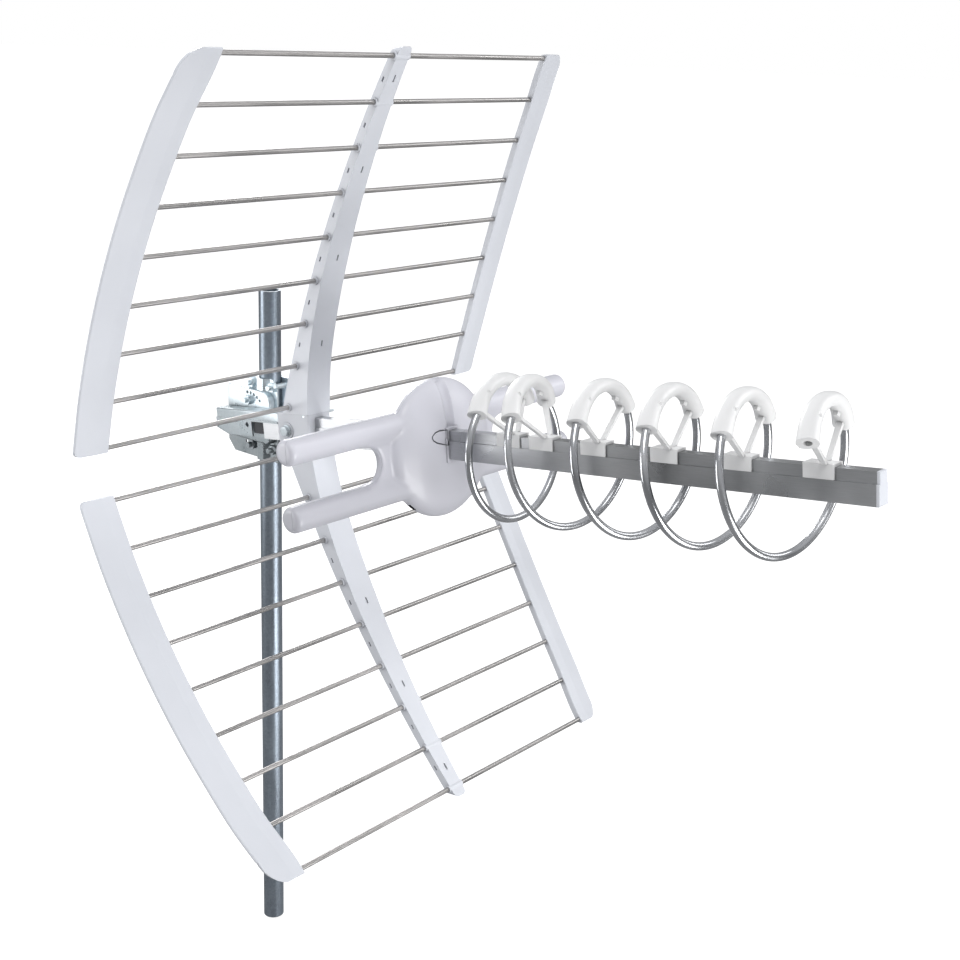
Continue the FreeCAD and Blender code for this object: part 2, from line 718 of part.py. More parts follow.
def make_pan():
    back = -WING_Y - SHEET
    body = pan_block(0.0, -PAN_FACE, back)
    front = [e for e in body.Edges if abs(e.CenterOfMass.y + PAN_FACE) < 0.01]
    body = body.makeFillet(1.5, front)
    body = body.cut(pan_block(SHEET, -PAN_FACE + SHEET, back + 5.0))
    body = body.cut(vee(-1, -PAN_FRONT, PAN_FRONT, -CLAMP_THROUGH, CLAMP_THROUGH, -20.0, SHEET + 0.2))
    tools = [cyl(BOLT_D / 2 + PIVOT_FIT, 80, V(PIVOT_X, -60, PIVOT_Z), V(0, 1, 0))]
    tools.append(cyl(BOLT_D / 2 + 0.15, 80, V(LOCK_X, -60, LOCK_Z), V(0, 1, 0)))
    for k in range(5):
        a = math.radians(96.0 - 11.6 * k)
        x = PIVOT_X + INDEX_R * math.cos(a)
        z = PIVOT_Z + INDEX_R * math.sin(a)
        tools.append(cyl(1.7, 80, V(x, -60, z), V(0, 1, 0)))
    return body.cut(Part.makeCompound(tools))


def make_jaw():
    body = vee(1, -WING_FRONT, WING_FRONT, WING_LOW, WING_HIGH)
    return body.cut(Part.makeCompound(bolt_holes()))


def make_clamp_bolt(x, z):
    return mirror_y(bolt(x, z, -WING_Y - SHEET, WING_Y + SHEET, WING_Y + SHEET + 10.0))


def make_lock_bolt():
    inside = -PAN_FACE + SHEET
    return mirror_y(bolt(LOCK_X, LOCK_Z, -inside, PAN_FACE, PAN_FACE + 9.0, 3.0))


def make_pivot_bolt():
    head_y = -MAST_IN_HEAD_Y + BOOM_W / 2 + BRACKET_FIT
    return bolt(PIVOT_X, PIVOT_Z, head_y, -PAN_FACE + SHEET, -PAN_FACE + SHEET + 5.2, 3.0)


# Bracket that carries the boom tail, in the head frame
def make_bracket():
    side = BOOM_W / 2 + BRACKET_FIT
    top = BOOM_TOP + BRACKET_FIT
    right = box(BRACKET_REAR, BRACKET_FRONT, side, side + SHEET, -BOOM_TOP, top + SHEET)
    roof = box(BRACKET_REAR, BRACKET_FRONT, -RIB_W / 2, side + SHEET, top, top + SHEET)
    body = right.fuse(roof)
    wall_end = BOOM_TAIL - TAIL_PLUG_OUT
    left = boom_section(BRACKET_FIT + SHEET, BRACKET_REAR, wall_end)
    rib = boom_section(BRACKET_FIT + SHEET, wall_end, BRACKET_FRONT)
    left = left.common(box(-300, 0, -60, 0, -BOOM_TOP + 1.0, 60))
    rib = rib.common(box(-300, 0, -60, 0, LEDGE + BRACKET_FIT, 60))
    hollow = boom_section(BRACKET_FIT, BRACKET_REAR - 1, BRACKET_FRONT + 1)
    hollow = hollow.fuse(box(BRACKET_REAR - 1, BRACKET_FRONT + 1, 0, side, -40, top))
    hollow = hollow.fuse(box(BRACKET_REAR - 1, BRACKET_FRONT + 1, -side, side, -40, 0))
    body = body.fuse([left, rib]).cut(hollow)
    tri = [V(BRACKET_REAR - 1, -40, -BOOM_TOP - 1), V(BRACKET_REAR + 26, -40, -BOOM_TOP - 1),
           V(BRACKET_REAR - 1, -40, -BOOM_TOP + 8.5)]
    body = body.cut(Part.Face(Part.makePolygon(tri + [tri[0]])).extrude(V(0, 80, 0)))
    body = body.removeSplitter()
    corner = []
    for e in body.Edges:
        c = e.CenterOfMass
        if abs(e.Length - (BRACKET_FRONT - BRACKET_REAR)) < 0.1 and c.z > top + SHEET - 0.01:
            corner.append(e)
    body = body.makeFillet(1.9, corner)
    cuts = [cyl(BOLT_D / 2 + 0.15, 60, V(BRACKET_BOLT_X, 0, -5.0), V(0, 1, 0))]
    square = box(-2.4, 2.4, -30, 0, -2.4, 2.4)
    square.rotate(V(0, 0, 0), V(0, 1, 0), 45)
    square.translate(V(-82.0, 0, 0))
    cuts.append(square)
    cuts.append(cyl(2.6, 12, V(-98.0, 0, 8.0), V(0, 0, 1)))
    cuts.append(cyl(2.6, 12, V(-64.0, 0, 8.0), V(0, 0, 1)))
    return body.cut(Part.makeCompound(cuts))


def make_bracket_bolt():
    side = BOOM_W / 2 + BRACKET_FIT
    head = hexagon(NUT_AF, 4.2, V(BRACKET_BOLT_X, side + SHEET, -5.0), V(0, 1, 0))
    shank = cyl(BOLT_D / 2, side + SHEET, V(BRACKET_BOLT_X, 0, -5.0), V(0, 1, 0))
    return head.fuse(shank).removeSplitter()


export(Part.makeCylinder(MAST_OD / 2, MAST_TOP - MAST_BOTTOM, V(0, 0, MAST_BOTTOM)).cut(
    Part.makeCylinder(MAST_OD / 2 - MAST_WALL, MAST_TOP - MAST_BOTTOM + 2, V(0, 0, MAST_BOTTOM - 1))),
    "mast_tube")

spine = make_spine()
export(place(spine), "spine_upper")
export(place(mirror_z(spine)), "spine_lower")
for i in range(ROD_COUNT):
    rod = make_rod(i)
    export(place(rod), "rod_upper_%d" % (i + 1))
    export(place(mirror_z(rod)), "rod_lower_%d" % (i + 1))
plate = make_plate()
export(place(plate), "end_plate_upper_right")
export(place(mirror_y(plate)), "end_plate_upper_left")
export(place(mirror_z(plate)), "end_plate_lower_right")
export(place(mirror_y(mirror_z(plate))), "end_plate_lower_left")
export(place(make_hub()), "reflector_hub")
export(place(make_hub_bolt()), "hub_bolt")
export(place(make_hub_pin()), "hub_pin")
export(place(make_boom()), "boom")
export(place(make_end_cap()), "boom_end_cap")
export(place(make_tail_plug()), "boom_tail_plug")
housing = make_housing()
export(place(make_front_shell(housing)), "dipole_front_shell")
export(place(make_rear_shell(housing)), "dipole_rear_shell")
for n in range(len(LOOP_MID)):
    export(place(make_loop(n)), "director_loop_%d" % (n + 1))
for n in range(len(CLIP_BASE_X)):
    export(place(make_clip(n)), "director_clip_%d" % (n + 1))
bracket = place(make_bracket())
pivot_bore = cyl(BOLT_D / 2 + PIVOT_FIT, 120, V(PIVOT_X, -80, PIVOT_Z), V(0, 1, 0))
export(bracket.cut(pivot_bore), "boom_bracket")
export(place(make_bracket_bolt()), "bracket_bolt")
export(make_saddle(), "mast_saddle")
export(make_jaw(), "mast_jaw")
export(make_pan(), "index_pan")
export(make_lock_bolt(), "lock_bolt")
export(make_pivot_bolt(), "pivot_bolt")
count = 0
for x in (-BOLT_X, BOLT_X):
    for z in (BOLT_Z_UP, BOLT_Z_DOWN):
        count += 1
        export(make_clamp_bolt(x, z), "clamp_bolt_%d" % count)
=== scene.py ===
import json
import math

import bmesh
import bpy
import numpy as np
from mathutils import Matrix, Vector


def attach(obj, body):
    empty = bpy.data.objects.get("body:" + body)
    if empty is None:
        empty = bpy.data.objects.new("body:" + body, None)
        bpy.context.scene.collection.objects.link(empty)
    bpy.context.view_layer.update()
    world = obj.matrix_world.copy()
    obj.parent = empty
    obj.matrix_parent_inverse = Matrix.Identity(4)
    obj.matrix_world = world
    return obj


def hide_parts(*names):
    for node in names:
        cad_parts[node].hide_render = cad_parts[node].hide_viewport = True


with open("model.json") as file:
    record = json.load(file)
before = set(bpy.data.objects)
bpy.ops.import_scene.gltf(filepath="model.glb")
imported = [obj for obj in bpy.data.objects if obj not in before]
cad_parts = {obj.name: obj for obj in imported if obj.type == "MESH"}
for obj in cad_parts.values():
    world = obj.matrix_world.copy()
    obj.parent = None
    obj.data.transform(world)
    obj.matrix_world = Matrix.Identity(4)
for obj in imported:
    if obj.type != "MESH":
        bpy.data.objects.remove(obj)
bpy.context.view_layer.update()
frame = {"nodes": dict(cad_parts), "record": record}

# Camera, in the row frame (metres and degrees)
CAM_POS = (1.2081, -1.0530, 0.4327)
CAM_AZ = 40.21
CAM_EL = 17.40
CAM_ROLL = 2.23
CAM_LENS = 53.65

# Head frame inside the row frame
HEAD_PITCH = math.radians(7.7)

# Stage, in metres
FLOOR_Z = -0.66
FLOOR_GLOW = 0.93
FLOOR_HALF = 60.0
DOME_R = 55.0

# Studio light: level of the world by height, from straight down at 0 to straight up at 1
WORLD_LEVELS = [(0.0, 0.34), (0.40, 0.28), (0.53, 0.28), (0.70, 0.50), (1.0, 0.70)]

# Soft boxes: name, place, target, width and height, power
CENTRE = (0.3, 0.0, 0.0)
SOFT_BOXES = [
    ("key", (2.6, 0.2, -0.8), CENTRE, (1.4, 1.4), 44.0),
    ("top", (1.1, -1.2, 2.4), CENTRE, (1.3, 1.3), 24.0),
    ("left", (-1.2, -1.6, 0.0), (0.0, 0.0, 0.0), (0.8, 1.1), 14.0),
    ("right", (1.5, 1.9, 1.2), CENTRE, (0.4, 1.6), 7.0),
    ("rear", (-2.2, 1.4, 1.2), CENTRE, (1.0, 1.0), 28.0),
]

# Painted reflections and painted shade along the boom, in brighter and duller bands: place from 0 to 1 over these
# two lengths in metres, and level
BOOM_SPAN = (0.26, 0.80)
BOOM_PAINTED_SHEEN_AND_SHADE = [
    (0.0, 1.0), (0.2, 0.80), (0.38, 0.62), (0.50, 0.48), (0.66, 0.45), (0.74, 0.92), (0.82, 0.74), (1.0, 0.84),
]

# Painted light and shade by height, in paler and duller bands: place from 0 to 1 over these two heights in metres,
# and level
PLASTIC_SPAN = (-0.05, 0.15)
ZINC_SPAN = (-0.05, 0.05)
PLATE_PAINTED_LIGHT_BY_HEIGHT = [(0.0, 0.92), (0.3, 1.0), (1.0, 1.0)]
SPINE_PAINTED_LIGHT_BY_HEIGHT = [(0.0, 0.97), (0.22, 1.10), (0.35, 1.20), (0.8, 1.18), (1.0, 1.06)]
HOUSING_PAINTED_LIGHT_BY_HEIGHT = [(0.0, 0.74), (0.30, 0.80), (0.50, 0.93), (0.75, 1.08), (1.0, 1.10)]
ZINC_PAINTED_LIGHT_BY_HEIGHT = [(0.0, 0.36), (0.30, 0.38), (0.34, 0.46), (0.62, 0.52), (0.70, 1.06), (1.0, 1.06)]


def turned_basis(az, el, roll):
    a, e, r = (math.radians(v) for v in (az, el, roll))
    back = Vector((math.sin(a) * math.cos(e), -math.cos(a) * math.cos(e), math.sin(e)))
    right = (-back).cross(Vector((0, 0, 1))).normalized()
    up = back.cross(right)
    right_r = right * math.cos(r) + up * math.sin(r)
    up_r = up * math.cos(r) - right * math.sin(r)
    return Matrix((right_r, up_r, back)).transposed()


def make_camera():
    data = bpy.data.cameras.new("camera")
    data.sensor_width = 36.0
    data.lens = CAM_LENS
    data.clip_end = 200.0
    cam = bpy.data.objects.new("camera", data)
    bpy.context.scene.collection.objects.link(cam)
    cam.matrix_world = Matrix.Translation(CAM_POS) @ turned_basis(CAM_AZ, CAM_EL, CAM_ROLL).to_4x4()
    bpy.context.scene.camera = cam


def set_stops(ramp, stops):
    while len(ramp.elements) < len(stops):
        ramp.elements.new(0.5)
    for element, (place, colour) in zip(ramp.elements, stops):
        element.position = place
        element.color = (*colour, 1.0)


# Node helpers
class Nodes:
    def __init__(self, name):
        self.mat = bpy.data.materials.new(name)
        self.mat.use_nodes = True
        self.tree = self.mat.node_tree
        self.bsdf = self.tree.nodes["Principled BSDF"]
        self.chain = None

    def add(self, kind, **values):
        node = self.tree.nodes.new(kind)
        for key, value in values.items():
            if key in node.inputs:
                node.inputs[key].default_value = value
            else:
                setattr(node, key, value)
        return node

    def link(self, a, b):
        self.tree.links.new(a, b)

    def coords(self, scale=(1, 1, 1), pitch=0.0):
        tex = self.add("ShaderNodeTexCoord")
        first = self.add("ShaderNodeMapping")
        first.inputs["Rotation"].default_value = (0, pitch, 0)
        second = self.add("ShaderNodeMapping")
        second.inputs["Scale"].default_value = scale
        self.link(tex.outputs["Object"], first.inputs["Vector"])
        self.link(first.outputs["Vector"], second.inputs["Vector"])
        return second.outputs["Vector"]

    def noise(self, vector, scale, detail=4.0, rough=0.55):
        node = self.add("ShaderNodeTexNoise")
        node.inputs["Scale"].default_value = scale
        node.inputs["Detail"].default_value = detail
        node.inputs["Roughness"].default_value = rough
        self.link(vector, node.inputs["Vector"])
        return node.outputs["Fac"]

    def ramp(self, fac, stops):
        node = self.add("ShaderNodeValToRGB")
        set_stops(node.color_ramp, stops)
        self.link(fac, node.inputs["Fac"])
        return node.outputs["Color"]

    def span(self, fac, low, high, start=0.0, stop=1.0):
        node = self.add("ShaderNodeMapRange")
        node.inputs["From Min"].default_value = start
        node.inputs["From Max"].default_value = stop
        node.inputs["To Min"].default_value = low
        node.inputs["To Max"].default_value = high
        self.link(fac, node.inputs["Value"])
        return node.outputs["Result"]

    def mix(self, factor, first, second):
        node = self.add("ShaderNodeMix", data_type="RGBA")
        for socket, value in (("Factor", factor), ("A", first), ("B", second)):
            for target in (i for i in node.inputs if i.name == socket and i.enabled):
                if isinstance(value, bpy.types.NodeSocket):
                    self.link(value, target)
                elif socket == "Factor":
                    target.default_value = value
                else:
                    target.default_value = (*value, 1.0)
        return next(o for o in node.outputs if o.enabled)

    def times(self, first, second):
        node = self.add("ShaderNodeMix", data_type="RGBA", blend_type="MULTIPLY")
        node.inputs["Factor"].default_value = 1.0
        self.link(first, node.inputs[6])
        self.link(second, node.inputs[7])
        return node.outputs[2]

    # Multiplies a colour by levels along one axis of the coordinates, which paints light and shade into it
    def along(self, base, vector, axis, reach, levels):
        axes = self.add("ShaderNodeSeparateXYZ")
        self.link(vector, axes.inputs["Vector"])
        where = self.span(axes.outputs[axis], 0.0, 1.0, *reach)
        return self.times(base, self.ramp(where, [(at, (level, level, level)) for at, level in levels]))

    def bump(self, height, strength, distance):
        node = self.add("ShaderNodeBump")
        node.inputs["Strength"].default_value = strength
        node.inputs["Distance"].default_value = distance
        self.link(height, node.inputs["Height"])
        if self.chain is not None:
            self.link(self.chain, node.inputs["Normal"])
        self.chain = node.outputs["Normal"]
        self.link(self.chain, self.bsdf.inputs["Normal"])

    # Rounds the shading of sharp edges and returns a mask that is 1 along them, where a highlight is painted
    def soft_edges(self, radius):
        bevel = self.add("ShaderNodeBevel", samples=4)
        bevel.inputs["Radius"].default_value = radius
        self.chain = bevel.outputs["Normal"]
        self.link(self.chain, self.bsdf.inputs["Normal"])
        flat = self.add("ShaderNodeNewGeometry")
        dot = self.add("ShaderNodeVectorMath", operation="DOT_PRODUCT")
        self.link(bevel.outputs["Normal"], dot.inputs[0])
        self.link(flat.outputs["Normal"], dot.inputs[1])
        return self.span(dot.outputs["Value"], 1.0, 0.0, 0.86, 0.995)

    # Mask that is 1 deep in grooves, holes and corners, where shade is painted into the colour
    def crevice_shade(self, reach):
        crevice_occlusion = self.add("ShaderNodeAmbientOcclusion", samples=8)
        crevice_occlusion.inputs["Distance"].default_value = reach
        return self.span(crevice_occlusion.outputs["AO"], 1.0, 0.0, 0.45, 0.95)

    def set(self, **values):
        names = {"metal": "Metallic", "coat": "Coat Weight", "coat_rough": "Coat Roughness", "rough": "Roughness",
                 "aniso": "Anisotropic", "spec": "Specular IOR Level"}
        for key, value in values.items():
            self.bsdf.inputs[names[key]].default_value = value


# Moulded plastic: faint clouds, fine grain and thin grime, with a painted highlight along the edges, painted shade
# in the crevices and painted light and shade by height
def plastic(name, low, high, rough, coat, grain, edge, painted_light_by_height=()):
    n = Nodes(name)
    v = n.coords()
    # Painted highlight: the colour turns paler along the edges
    rim = n.soft_edges(0.0007)
    base = n.ramp(n.noise(v, 7.0, 3.0), [(0.3, low), (0.7, high)])
    grime = n.span(n.noise(v, 26.0, 3.0, 0.5), 0.0, 0.10, 0.30, 0.90)
    base = n.mix(grime, base, tuple(c * 0.80 for c in low))
    # Painted light and shade: the colour is made paler or duller by height
    if painted_light_by_height:
        base = n.along(base, v, "Z", PLASTIC_SPAN, painted_light_by_height)
    # Painted highlight along the edges, then painted shade darkening the crevices
    base = n.mix(n.crevice_shade(0.007), n.mix(rim, base, edge), tuple(c * 0.62 for c in low))
    n.link(base, n.bsdf.inputs["Base Color"])
    n.link(n.span(n.noise(v, 24.0, 2.0), rough - 0.03, rough + 0.05, 0.2, 0.8), n.bsdf.inputs["Roughness"])
    n.bump(n.noise(v, 14.0, 2.0), 0.10, 0.002)
    n.bump(n.noise(v, 1100.0, 2.0), grain, 0.0002)
    n.set(coat=coat, coat_rough=0.10)
    return n.mat


# Drawn aluminium: fine lines along the length and dull patches, and on the boom painted reflections and painted
# shade in bands along it
def drawn_metal(name, stretch, low, high, rough, patches=14.0, lines=0.10, sheen_and_shade_bands=()):
    n = Nodes(name)
    streak = n.noise(n.coords(stretch, HEAD_PITCH), 2200.0, 2.0, 0.5)
    plain = n.coords((1, 1, 1), HEAD_PITCH)
    patch = n.noise(plain, patches, 2.0, 0.4)
    base = n.mix(0.75, n.ramp(streak, [(0.30, low), (0.70, high)]), n.ramp(patch, [(0.30, low), (0.70, high)]))
    # Painted reflections and painted shade: the colour is brightened and darkened in bands along the boom
    if sheen_and_shade_bands:
        base = n.along(base, plain, "X", BOOM_SPAN, sheen_and_shade_bands)
    n.link(base, n.bsdf.inputs["Base Color"])
    n.link(n.span(patch, rough - 0.06, rough + 0.10, 0.35, 0.65), n.bsdf.inputs["Roughness"])
    n.bump(streak, lines, 0.00005)
    n.set(metal=1.0, aniso=0.3)
    return n.mat


# Zinc: small spangles and chalky clouds, with a painted highlight along the edges and painted light and shade by
# height
def zinc(name, low, high, rough, cell, edge, streaks=(1, 1, 1), painted_light_by_height=()):
    n = Nodes(name)
    v = n.coords()
    # Painted highlight: the colour turns paler along the edges
    rim = n.soft_edges(0.0006)
    spangle = n.add("ShaderNodeTexVoronoi")
    spangle.inputs["Scale"].default_value = cell
    n.link(v, spangle.inputs["Vector"])
    parts = n.add("ShaderNodeSeparateColor")
    n.link(spangle.outputs["Color"], parts.inputs["Color"])
    cloud = n.noise(n.coords(streaks), 34.0, 6.0, 0.62)
    base = n.mix(0.72, n.ramp(parts.outputs["Red"], [(0.1, low), (0.9, high)]),
                 n.ramp(cloud, [(0.36, low), (0.64, high)]))
    # Painted light and shade: the colour is made paler or duller by height
    if painted_light_by_height:
        base = n.along(base, v, "Z", ZINC_SPAN, painted_light_by_height)
    n.link(n.mix(rim, base, edge), n.bsdf.inputs["Base Color"])
    n.link(n.span(cloud, rough - 0.10, rough + 0.12, 0.35, 0.65), n.bsdf.inputs["Roughness"])
    n.bump(cloud, 0.12, 0.0004)
    n.set(metal=0.8)
    return n.mat


def make_materials():
    along_boom = (0.03, 1.0, 1.0)
    along_rods = (1.0, 0.03, 1.0)
    along_mast = (1.0, 1.0, 0.12)
    # For each plastic the colour after coat and grain, and for zinc the colour after the spangle size, is the
    # painted highlight along the edges; white is the one for the white plastics
    white = (0.90, 0.93, 0.99)
    return {
        "white_plastic": plastic("white_plastic", (0.71, 0.73, 0.78), (0.76, 0.78, 0.83), 0.42, 0.10, 0.04, white,
                                 PLATE_PAINTED_LIGHT_BY_HEIGHT),
        # Copy of the white plastic whose only difference is its painted light and shade by height on the spines
        "spine_plastic_painted_shade": plastic("spine_plastic_painted_shade", (0.71, 0.73, 0.78), (0.76, 0.78, 0.83), 0.42, 0.10, 0.04, white,
                                 SPINE_PAINTED_LIGHT_BY_HEIGHT),
        "housing_plastic": plastic("housing_plastic", (0.66, 0.66, 0.72), (0.69, 0.69, 0.75), 0.36, 0.22, 0.0,
                                   (0.80, 0.81, 0.88), HOUSING_PAINTED_LIGHT_BY_HEIGHT),
        "clip_plastic": plastic("clip_plastic", (0.87, 0.87, 0.87), (0.93, 0.93, 0.925), 0.36, 0.20, 0.04,
                                (0.95, 0.95, 0.95)),
        "black_plastic": plastic("black_plastic", (0.012, 0.014, 0.020), (0.030, 0.032, 0.042), 0.45, 0.0, 0.2,
                                 (0.07, 0.07, 0.08)),
        "boom_aluminium": drawn_metal("boom_aluminium", along_boom, (0.42, 0.43, 0.44), (0.66, 0.67, 0.69), 0.32,
                                      sheen_and_shade_bands=BOOM_PAINTED_SHEEN_AND_SHADE),
        "rod_aluminium": drawn_metal("rod_aluminium", along_rods, (0.44, 0.43, 0.42), (0.58, 0.56, 0.55), 0.33,
                                     lines=0.04),
        "loop_aluminium": drawn_metal("loop_aluminium", (1, 1, 1), (0.42, 0.43, 0.45), (0.66, 0.67, 0.69), 0.17,
                                      patches=24.0, lines=0.04),
        "zinc_steel": zinc("zinc_steel", (0.58, 0.66, 0.70), (0.82, 0.89, 0.93), 0.34, 620.0, (0.92, 0.97, 1.0),
                           painted_light_by_height=ZINC_PAINTED_LIGHT_BY_HEIGHT),
        "mast_steel": zinc("mast_steel", (0.215, 0.245, 0.285), (0.36, 0.42, 0.48), 0.36, 420.0, (0.65, 0.70, 0.72),
                           along_mast),
    }


def dress_nodes(materials):
    slots = {part["node"]: part["material_slot"] for part in frame["record"]["subparts"]}
    for name, obj in frame["nodes"].items():
        obj.data.materials.clear()
        # The spines take the copy of the white plastic with its own painted light and shade
        obj.data.materials.append(materials["spine_plastic_painted_shade" if name.startswith("spine") else slots[name]])


# Stage: a pale floor under a pale dome. Metals mirror the dim studio instead of the stage.
def glowing(name, strength, colour):
    n = Nodes(name)
    n.bsdf.inputs["Base Color"].default_value = (*colour, 1)
    n.set(rough=0.9, spec=0.0)
    n.bsdf.inputs["Emission Color"].default_value = (1, 1, 1, 1)
    n.bsdf.inputs["Emission Strength"].default_value = strength
    return n.mat


def stage_piece(mesh, material):
    obj = bpy.data.objects.new(mesh.name, mesh)
    obj.visible_glossy = False
    obj.visible_diffuse = False
    obj.visible_shadow = False
    mesh.materials.append(material)
    bpy.context.scene.collection.objects.link(obj)


def make_stage():
    r = FLOOR_HALF
    floor = bpy.data.meshes.new("floor")
    floor.from_pydata([(-r, -r, FLOOR_Z), (r, -r, FLOOR_Z), (r, r, FLOOR_Z), (-r, r, FLOOR_Z)], [], [(0, 1, 2, 3)])
    stage_piece(floor, glowing("floor", FLOOR_GLOW, (0.35, 0.35, 0.35)))
    dome = bpy.data.meshes.new("dome")
    ball = bmesh.new()
    bmesh.ops.create_icosphere(ball, subdivisions=3, radius=DOME_R)
    ball.to_mesh(dome)
    ball.free()
    stage_piece(dome, glowing("dome", 1.0, (0.0, 0.0, 0.0)))


def area_light(name, place, target, size, power):
    data = bpy.data.lights.new(name, "AREA")
    data.shape = "RECTANGLE"
    data.size, data.size_y = size
    data.energy = power
    obj = bpy.data.objects.new(name, data)
    obj.visible_camera = False
    bpy.context.scene.collection.objects.link(obj)
    direction = Vector(target) - Vector(place)
    obj.matrix_world = Matrix.Translation(place) @ direction.to_track_quat("-Z", "Y").to_matrix().to_4x4()


# Dark at the horizon, brighter overhead, with soft boxes round the object
def make_lights():
    world = bpy.data.worlds.new("studio")
    bpy.context.scene.world = world
    world.use_nodes = True
    tree = world.node_tree
    tex = tree.nodes.new("ShaderNodeTexCoord")
    split = tree.nodes.new("ShaderNodeSeparateXYZ")
    half = tree.nodes.new("ShaderNodeMapRange")
    half.inputs["From Min"].default_value = -1.0
    ramp = tree.nodes.new("ShaderNodeValToRGB")
    tree.links.new(tex.outputs["Generated"], split.inputs["Vector"])
    tree.links.new(split.outputs["Z"], half.inputs["Value"])
    tree.links.new(half.outputs["Result"], ramp.inputs["Fac"])
    tree.links.new(ramp.outputs["Color"], tree.nodes["Background"].inputs["Color"])
    set_stops(ramp.color_ramp, [(place, (level, level * 1.01, level * 1.03)) for place, level in WORLD_LEVELS])
    tree.nodes["Background"].inputs["Strength"].default_value = 1.0
    for name, place, target, size, power in SOFT_BOXES:
        area_light(name, place, target, size, power)


# Dipole housing as one blended form in two shells, in millimetres, in the head's own frame
MAST_X = -85.1
MAST_Y = 27.85
HOUSE_X = 203.2
HOUSE_Z = -4.6
HOUSE_R = 70.0
HOUSE_FRONT = 19.0
HOUSE_BACK = 20.0
RIM_POWER = 2.17
NOSE_POWER = 2.22
ARM_X = 199.8
ARM_Z = 31.1
ARM_R = 12.5
ARM_START = 46.0
ARM_END = 200.5
TIP_ROUND = 4.8
GAP_END = 83.0
WEB_HALF = 5.5
WEB_START = 30.0
GAP_BLEND = 6.0
WEB_BLEND = 5.0
BULB_BLEND = 3.2
GROOVE_R = 6.4
GROOVE_OUT = 2.2
GROOVE_LOW = 16.0
GROOVE_BLEND = 0.6
SEAM = 0.3
SKIN = 0.3
SHARP = math.radians(38)

# Grid that the form is sampled on, and the corners of its box
GRID = 1.7
GRID_LOW = (178.0, -205.0, -82.0)
GRID_HIGH = (228.0, 205.0, 74.0)

# Boom's section, the collar round it, the latch's outline as y and z, and the lead slot in the rim
BOOM_HALF = 7.5
RIB_HALF = 6.0
BOOM_LEDGE = 4.0
BOOM_TOP = 14.3
BOOM_GAP = 0.15
COLLAR = 3.0
COLLAR_START = HOUSE_X + 4.0
COLLAR_END = 223.4
LATCH = [(-8.5, 14.8), (-17.0, 15.4), (-22.0, 14.4), (-26.5, 11.6), (-26.0, 8.2), (-21.5, 5.2), (-8.5, 0.4)]
LATCH_GAP = 1.5
LATCH_FLOOR = 218.0
LATCH_TOP = 240.0
CUT_REAR = 150.0
CUT_FRONT = 260.0
SLOT_TURN = math.radians(-41.0)
SLOT = [(-9.0, -2.0), (-1.0, -9.0), (11.0, 5.0), (3.0, 12.0)]
SLOT_HALF = 2.5


# Signed distances, below zero inside. Joining two of them with a blend rounds the corner between them.
def blend_min(a, b, k):
    h = np.clip(0.5 + 0.5 * (b - a) / k, 0.0, 1.0)
    return b + (a - b) * h - k * h * (1.0 - h)


def blend_max(a, b, k):
    return -blend_min(-a, -b, k)


def bulb_field(x, y, z):
    depth = np.where(x > HOUSE_X, HOUSE_FRONT, HOUSE_BACK)
    u = np.hypot(y, z) / HOUSE_R + 1e-6
    w = np.abs(x - HOUSE_X) / depth + 1e-6
    f = u ** RIM_POWER + w ** NOSE_POWER
    nose = NOSE_POWER * w ** (NOSE_POWER - 1.0) / depth
    rim = RIM_POWER * u ** (RIM_POWER - 1.0) / HOUSE_R
    slope = np.hypot(nose, rim) / (2.0 * np.sqrt(f))
    return (np.sqrt(f) - 1.0) / slope


def arm_field(x, y, z):
    radial = np.hypot(x - ARM_X, np.abs(z) - ARM_Z) - (ARM_R - TIP_ROUND)
    along = np.maximum(np.abs(y) - (ARM_END - TIP_ROUND), ARM_START + TIP_ROUND - np.abs(y))
    outside = np.hypot(np.maximum(radial, 0.0), np.maximum(along, 0.0))
    return outside + np.minimum(np.maximum(radial, along), 0.0) - TIP_ROUND


def web_field(x, y, z):
    gap_r = ARM_Z - ARM_R
    side = np.maximum(np.abs(y) - GAP_END - gap_r, WEB_START - np.abs(y))
    plate = np.maximum(np.maximum(np.abs(x - ARM_X) - WEB_HALF, side), np.abs(z) - ARM_Z)
    return blend_max(plate, gap_r - np.hypot(np.abs(y) - GAP_END - gap_r, z), GAP_BLEND)


def housing_field(p):
    x, y, z = p[:, 0], p[:, 1], p[:, 2] - HOUSE_Z
    bulb = bulb_field(x, y, z)
    body = blend_min(bulb, blend_min(arm_field(x, y, z), web_field(x, y, z), WEB_BLEND), BULB_BLEND)
    groove = np.hypot(y, bulb - GROOVE_OUT) - GROOVE_R
    groove = np.maximum(groove, np.maximum(GROOVE_LOW - z, HOUSE_X + 0.4 - x))
    return blend_max(body, -groove, GROOVE_BLEND)


def field_slope(p):
    out = np.empty_like(p)
    reach = 0.02
    for axis in range(3):
        step = np.zeros(3)
        step[axis] = reach
        out[:, axis] = (housing_field(p + step) - housing_field(p - step)) / (2.0 * reach)
    return out


